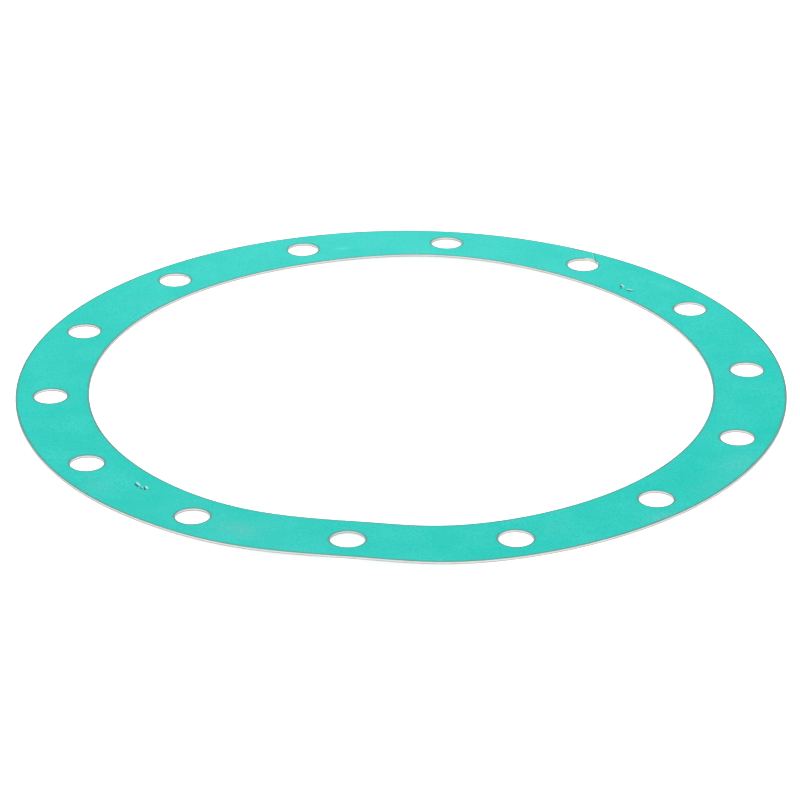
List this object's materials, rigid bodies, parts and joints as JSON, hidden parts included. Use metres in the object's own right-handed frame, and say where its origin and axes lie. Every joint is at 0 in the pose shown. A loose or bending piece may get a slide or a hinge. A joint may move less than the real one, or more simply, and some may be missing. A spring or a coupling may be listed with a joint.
{
  "type": "filter gasket",
  "caption": "Thin flat ring gasket with a wide round opening and a circle of bolt holes, which seals a bolted filter cover.",
  "frame": {"origin": "centre of the ring, on its lower face", "axes": "+Z along the ring's axis, out of its upper face; +X through the centre of one bolt hole"},
  "size_m": [0.247, 0.247, 0.0008],
  "materials": {
    "coated_sheet": "matt teal coating on pale fibre sheet"
  },
  "bodies": {
    "root": {"gasket": "coated_sheet"}
  },
  "joints": []
}
